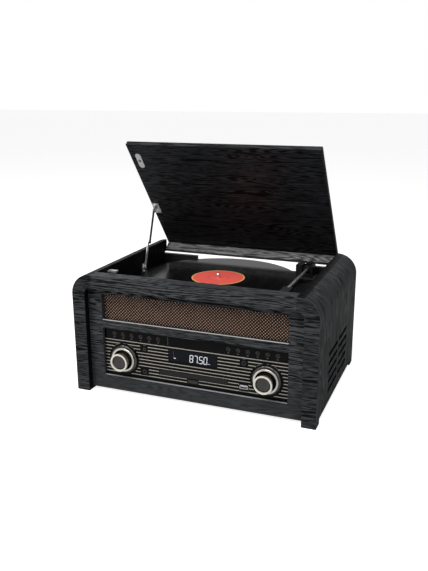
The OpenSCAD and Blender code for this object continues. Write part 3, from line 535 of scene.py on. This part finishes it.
def stroke_outline(left, ends):
    """A stroke with pointed ends, which stops just short of its neighbours."""
    (x0, z0), (x1, z1) = ends
    a = Vector((left + x0 * figure_w, figure_z0 + z0 * figure_h))
    b = Vector((left + x1 * figure_w, figure_z0 + z1 * figure_h))
    run = (b - a).normalized()
    side = Vector((-run.y, run.x)) * (stroke / 2)
    a += run * stroke_gap
    b -= run * stroke_gap
    tip = run * (stroke / 2)
    corners = [a, a + tip + side, b - tip + side, b, b - tip - side, a + tip - side]
    return [(p.x + (p.y - figure_z0) * lean, p.y) for p in corners]


points = []
faces = []
for figure, left in figures:
    for letter in strokes_of[figure]:
        plate(points, faces, stroke_outline(left * mm, stroke_ends[letter]), crystal_face, print_t)
for x, z, w, h in point_and_bars:
    plate(points, faces, bar(x * mm, z * mm, w * mm, h * mm), crystal_face, print_t)
crystal_pale, place, shader = finish("crystal_pale", Roughness=0.5, Emission_Strength=0.35)
cells = place.noise(0.5 * mm, 1.0).mix((0.66, 0.68, 0.74), (0.80, 0.82, 0.88))
feed(shader, Base_Color=cells, Emission_Color=cells)
new_piece("display_figures", points, faces, crystal_pale, "cabinet")

level_bar = bar(-35.4 * mm, 86 * mm, print_line, 12 * mm)
points = []
faces = []
plate(points, faces, level_bar, crystal_face, print_t)
crystal_dim, place, shader = finish("crystal_dim", Roughness=0.5)
feed(shader, Base_Color=place.noise(0.5 * mm).mix((0.07, 0.075, 0.09), (0.11, 0.115, 0.13)))
new_piece("display_level_bar", points, faces, crystal_dim, "cabinet")


# ---- Knobs ----
# Dark brown moulded knobs with a deep gloss and a hollow face, each with a polished champagne
# ring pressed round its skirt and another round its face.

cover(mottled("knob_gloss", 12 * mm, (0.008, 0.006, 0.005), (0.016, 0.012, 0.010), rough=0.12, spread=0.1,
              detail=3.0, Specular_IOR_Level=0.9)[0], "left_knob", "right_knob")
cover(mottled("champagne", 2 * mm, (0.96, 0.93, 0.80), (1.0, 0.97, 0.86), rough=0.25, spread=0.1,
              Metallic=0.45, Coat_Weight=0.6, Coat_Roughness=0.1)[0], "left_knob_rings", "right_knob_rings")


# ---- Disc tray, drive and what stands behind the panel ----
# The tray is moulded in satin black with a hollow for the disc. The drive, the display's housing,
# the green circuit board and the supply's steel case are screwed inside the cabinet, and the
# sockets are moulded black, plated or gilt.

tray_satin, shader, spark = mottled("tray_satin", 0.7 * mm, (0.006, 0.006, 0.0065), (0.011, 0.011, 0.012),
                                    rough=0.25, spread=0.1, Specular_IOR_Level=0.3)
feed(shader, Normal=bump(spark, 0.1, 0.1 * mm))
cover(tray_satin, "cd_tray")
cover(mottled("moulded_black", 1.1 * mm, (0.010, 0.010, 0.011), (0.020, 0.020, 0.021), rough=0.4, spread=0.15,
              Specular_IOR_Level=0.4)[0], "phone_jacks", "power_inlet", "display_module")
cover(mottled("zinc_sheet", 8 * mm, (0.42, 0.43, 0.45), (0.55, 0.56, 0.58), rough=0.3, spread=0.2, detail=3.0,
              Metallic=1.0)[0], "cd_drive", "power_supply", "platter_motor")

solder_mask, place, shader = finish("solder_mask", Roughness=0.35)
tracks = place.noise(5 * mm, 0.0).ramp(0.5, 0.52)
feed(shader, Base_Color=tracks.mix((0.01, 0.09, 0.035), (0.015, 0.13, 0.05)))
cover(solder_mask, "main_board")

bright_plate, place, shader = finish("bright_plate", Metallic=1.0)
wipe = place.vector("MULTIPLY", (1, 1, 8)).noise(3 * mm, 2.0)
feed(shader, Base_Color=wipe.mix((0.66, 0.66, 0.68), (0.80, 0.80, 0.82)), Roughness=wipe * 0.2 + 0.22)
cover(bright_plate, "usb_socket", "spindle", "lid_pivot_pins")

barrel_out = 8 * mm
gilt_sockets, place, shader = finish("gilt_sockets", Roughness=0.3)
barrel = place.parts()[1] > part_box("rca_sockets")[1].y - barrel_out
rubbed = place.noise(2 * mm, 2.0)
gilt = rubbed.mix((0.70, 0.50, 0.20), (0.82, 0.64, 0.32))
feed(shader, Base_Color=barrel.mix((0.012, 0.012, 0.013), gilt), Metallic=barrel)
cover(gilt_sockets, "rca_sockets")


# ---- Platter, belt and motor pulley ----
# The platter is moulded. A flat rubber belt runs from the motor's brass pulley round the rim
# under it.

cover(mottled("platter_black", 1.4 * mm, (0.012, 0.012, 0.013), (0.024, 0.024, 0.026), rough=0.42,
              spread=0.15)[0], "platter")

turned_brass, place, shader = finish("turned_brass", Metallic=1.0)
cutter = place.vector("MULTIPLY", (1, 1, 30)).noise(5 * mm, 2.0)
feed(shader, Base_Color=cutter.mix((0.66, 0.50, 0.22), (0.78, 0.62, 0.32)), Roughness=cutter * 0.15 + 0.2)
cover(turned_brass, "motor_pulley")

cover(mottled("belt_rubber", 1.2 * mm, (0.008, 0.008, 0.008), (0.018, 0.018, 0.018), rough=0.6,
              spread=0.2)[0], "drive_belt")


# ---- Slip mat ----
# A disc of pressed black felt with a punched hole, a little uneven on top, laid on the platter.

mat_low, mat_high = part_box("slip_mat")
mat_centre = (mat_low + mat_high) / 2
mat_radius = (mat_high.x - mat_low.x) / 2
hole_radius = 3.8 * mm
nap_height = 0.06 * mm
lift = 0.02 * mm
mat_turns = 96
mat_rings = 14
points = []
faces = []
for level in (0, 1):
    for ring_n in range(mat_rings + 1):
        radius = hole_radius + (mat_radius - hole_radius) * ring_n / mat_rings
        for turn in range(mat_turns):
            angle = 2 * math.pi * turn / mat_turns
            nap = nap_height * math.sin(7 * angle + ring_n * 1.9) * math.sin(11 * angle - ring_n * 0.7)
            height = mat_high.z - 2 * nap_height + nap if level else mat_low.z + lift
            points.append((mat_centre.x + radius * math.cos(angle), mat_centre.y + radius * math.sin(angle),
                           height))
per_level = (mat_rings + 1) * mat_turns
for turn in range(mat_turns):
    ahead = (turn + 1) % mat_turns
    for level in (0, 1):
        for ring_n in range(mat_rings):
            corner = level * per_level + ring_n * mat_turns
            outer = corner + mat_turns
            faces.append((corner + turn, outer + turn, outer + ahead, corner + ahead))
    for corner in (0, mat_rings * mat_turns):
        faces.append((corner + turn, corner + ahead, corner + per_level + ahead, corner + per_level + turn))
black_felt, place, shader = finish("black_felt", Roughness=0.95, Sheen_Weight=0.3)
fuzz = place.noise(0.6 * mm, 3.0)
feed(shader, Base_Color=fuzz.mix((0.010, 0.010, 0.010), (0.036, 0.036, 0.036)),
     Normal=bump(fuzz, 0.5, 0.3 * mm))
felt_disc = new_piece("felt_disc", points, faces, black_felt, "platter", smooth=True)
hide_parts("slip_mat")


# ---- Record ----
# A twelve-inch vinyl record: bands of fine grooves with smooth gaps between the tracks, and a
# pressed paper label in red with a pale rim and a plain printed ring.

record_centre = sum(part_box("record"), Vector()) / 2
label_radius = 50 * mm
rim_w = 2.6 * mm
ring_at = (19 * mm, 19.8 * mm)
vinyl, place, shader = finish("vinyl", Specular_IOR_Level=0.25)
x, y, z = place.vector("SUBTRACT", tuple(record_centre)).parts()
radius = (x * x + y * y).math("SQRT")
on_label = (radius < label_radius) * (z > 0)
out = x.node("ShaderNodeCombineXYZ", i0=radius, i1=0.0, i2=0.0)
grooves = out.noise(0.9 * mm, 2.0)
bands = out.noise(16 * mm, 1.0).ramp(0.44, 0.60)
paper = place.noise(3 * mm, 4.0)
red = paper.mix((0.95, 0.10, 0.085), (1.0, 0.18, 0.14))
plain_ring = (radius > ring_at[0]) * (radius < ring_at[1])
ringed = plain_ring.mix(red, (0.60, 0.045, 0.045))
label = (radius > label_radius - rim_w).mix(ringed, (0.92, 0.52, 0.17))
feed(shader, Base_Color=on_label.mix(bands.mix((0.0045, 0.0045, 0.005), (0.007, 0.007, 0.0075)), label),
     Roughness=on_label * 0.4 + grooves * 0.10 + bands * 0.04 + 0.12,
     Normal=bump(grooves * (1 - on_label), 0.15, 0.15 * mm))
cover(vinyl, "record")


# ---- Tonearm, its base and levers ----
# The base, the turret with its spring housing and the headshell are moulded in black, with a painted
# highlight on their upward faces, and the levers in dark grey. The tube is bright aluminium, and the
# counterweight at its rear is black.

arm_black, place, shader = finish("arm_black", Specular_IOR_Level=0.5)
spark = place.noise(1.1 * mm, 2.0)
# Painted highlight: faces that turn upwards are coloured lighter, as if lit from above.
painted_top_highlight = place.surface().parts()[2].ramp(0.6, 0.95)
feed(shader, Base_Color=(painted_top_highlight * (spark * 0.5 + 0.6)).mix((0.007, 0.007, 0.008), (0.042, 0.042, 0.044)),
     Roughness=spark * 0.15 + 0.25)
cover(arm_black, "tonearm_base", "tonearm_turret", "headshell")

cover(mottled("lever_grey", 1.1 * mm, (0.045, 0.045, 0.047), (0.075, 0.075, 0.078), rough=0.3, spread=0.15,
              Specular_IOR_Level=0.5)[0], "cue_lever", "speed_selector")

tube_end = (sum(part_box("tonearm_turret"), Vector()) / 2).y - 9.5 * mm
arm_metal, place, shader = finish("arm_metal")
behind = place.parts()[1] > tube_end
drawn = place.vector("MULTIPLY", (1, 0.1, 1)).noise(0.8 * mm, 2.0)
bright = drawn.mix((0.74, 0.74, 0.76), (0.92, 0.92, 0.94))
feed(shader, Base_Color=behind.mix(bright, (0.012, 0.012, 0.013)),
     Metallic=(1 - behind) * 0.75, Roughness=drawn * 0.12 + 0.12)
cover(arm_metal, "tonearm_tube")


# ---- Lid ----
# A board veneered on both faces like the cabinet, but stained deeper, with a rail glued under its
# rear edge, whose veneer is coloured much paler as painted light, since it faces down, away from the lamps.

# The rail's paler colours are painted light, standing in for light that its downward face misses.
for node, shift, pore, pale, lacquer in (
        ("lid_board", (0.05, 0.3, 0), (0.0004, 0.0004, 0.0006), (0.042, 0.045, 0.050), 0.09),
        ("lid_rear_rail", (0.2, 0.6, 0), (0.07, 0.071, 0.073), (0.42, 0.425, 0.43), 0.04)):
    lid_oak, place, shader, wood = black_oak(f"{node}_oak", shift, pore=pore, pale=pale, lacquer=lacquer,
                                             matt=0.5)
    feed(shader, Base_Color=wood)
    cover(lid_oak, node)


# ---- Catch and stay ----
# A steel spring on the well's wall, in a black holder, catches a pressed plate on the lid, whose
# dimple is a disc of painted shade. The stay has a black upper link and a plated lower one, which fold on
# plated brackets.

dimple_shade_r = 2.8 * mm
spring_t = 3.6 * mm
for node in ("catch_plate", "lid_catch"):
    piece_low, piece_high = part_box(node)
    catch_steel, place, shader = finish(f"{node}_steel", Metallic=0.8)
    brushed = place.vector("MULTIPLY", (1, 12, 1)).noise(3 * mm, 2.0)
    steel = brushed.mix((0.62, 0.62, 0.62), (0.78, 0.78, 0.78))
    if node == "catch_plate":
        x, y, z = place.vector("SUBTRACT", tuple((piece_low + piece_high) / 2)).parts()
        # Painted shade: a dark disc where the plate's dimple is hollow.
        dark = ((x * x + y * y + z * z).math("SQRT") < dimple_shade_r) * 0.75
    else:
        dark = place.parts()[2] < piece_high.z - spring_t
    feed(shader, Base_Color=dark.mix(steel, (0.012, 0.012, 0.012)), Roughness=brushed * 0.2 + 0.35)
    cover(catch_steel, node)

stay_plating, place, shader = finish("stay_plating", Metallic=0.55)
wipe = place.vector("MULTIPLY", (1, 1, 8)).noise(3 * mm, 2.0)
feed(shader, Base_Color=wipe.mix((0.80, 0.80, 0.82), (0.95, 0.95, 0.97)), Roughness=wipe * 0.2 + 0.18)
cover(stay_plating, "stay_wall_bracket", "stay_lower_link", "stay_lid_bracket")

cover(mottled("link_black", 1.5 * mm, (0.008, 0.008, 0.009), (0.016, 0.016, 0.017), rough=0.25, spread=0.2,
              Specular_IOR_Level=0.5)[0], "stay_upper_link")
